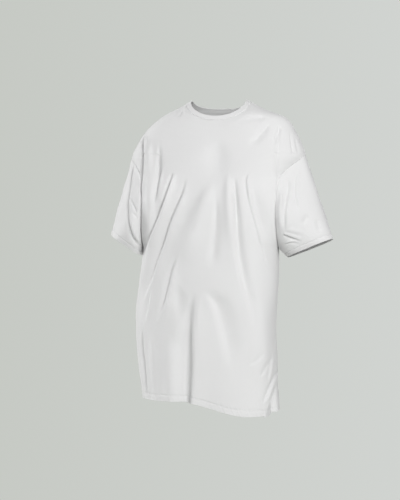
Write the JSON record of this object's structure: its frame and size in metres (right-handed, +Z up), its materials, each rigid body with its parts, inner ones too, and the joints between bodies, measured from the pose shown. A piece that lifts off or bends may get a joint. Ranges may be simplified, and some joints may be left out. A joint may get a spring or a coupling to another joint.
{
  "type": "patient gown",
  "caption": "Short-sleeved white patient gown with a bound round neck, side vents and a lapped back that closes with press snaps, shaped as worn.",
  "frame": {"origin": "middle of the neck opening, level with the tops of the shoulder seams", "axes": "+Z up, -Y the wearer's front, +X the wearer's left"},
  "size_m": [0.62, 0.2827, 0.8636],
  "materials": {
    "gown_cloth": "matte plain-weave white cotton blend",
    "neck_binding": "matte folded white cloth, edge-stitched",
    "snap_plastic": "white moulded acetal"
  },
  "bodies": {
    "gown_body": {"front_panel": "gown_cloth", "back_side_left": "gown_cloth", "back_side_right": "gown_cloth", "neck_binding_front": "neck_binding"},
    "sleeve_left": {"sleeve_left": "gown_cloth"},
    "sleeve_right": {"sleeve_right": "gown_cloth"},
    "flap_over": {"back_flap_over": "gown_cloth", "neck_binding_over": "neck_binding", "snap_socket_1": "snap_plastic", "snap_socket_2": "snap_plastic", "snap_socket_3": "snap_plastic", "snap_socket_4": "snap_plastic", "snap_cap_outer_1": "snap_plastic", "snap_cap_outer_2": "snap_plastic", "snap_cap_outer_3": "snap_plastic", "snap_cap_outer_4": "snap_plastic"},
    "flap_under": {"back_flap_under": "gown_cloth", "neck_binding_under": "neck_binding", "snap_stud_1": "snap_plastic", "snap_stud_2": "snap_plastic", "snap_stud_3": "snap_plastic", "snap_stud_4": "snap_plastic", "snap_cap_inner_1": "snap_plastic", "snap_cap_inner_2": "snap_plastic", "snap_cap_inner_3": "snap_plastic", "snap_cap_inner_4": "snap_plastic"}
  },
  "joints": [
    {"name": "sleeve_left_raise", "type": "hinge", "parent": "gown_body", "child": "sleeve_left", "pos_m": [0.19, 0, -0.07], "axis": [0, -1, 0], "range_deg": [0, 30]},
    {"name": "sleeve_right_raise", "type": "hinge", "parent": "gown_body", "child": "sleeve_right", "pos_m": [-0.19, 0, -0.07], "axis": [0, 1, 0], "range_deg": [0, 30]},
    {"name": "back_over_open", "type": "hinge", "parent": "gown_body", "child": "flap_over", "pos_m": [0.088, 0.1, 0], "axis": [0, 0.032, -0.9995], "range_deg": [0, 70]},
    {"name": "back_under_open", "type": "hinge", "parent": "gown_body", "child": "flap_under", "pos_m": [-0.088, 0.1, 0], "axis": [0, -0.032, 0.9995], "range_deg": [0, 28]}
  ],
  "couplings": [
    {"joint": "back_under_open", "follows": "back_over_open", "ratio": 0.4}
  ]
}
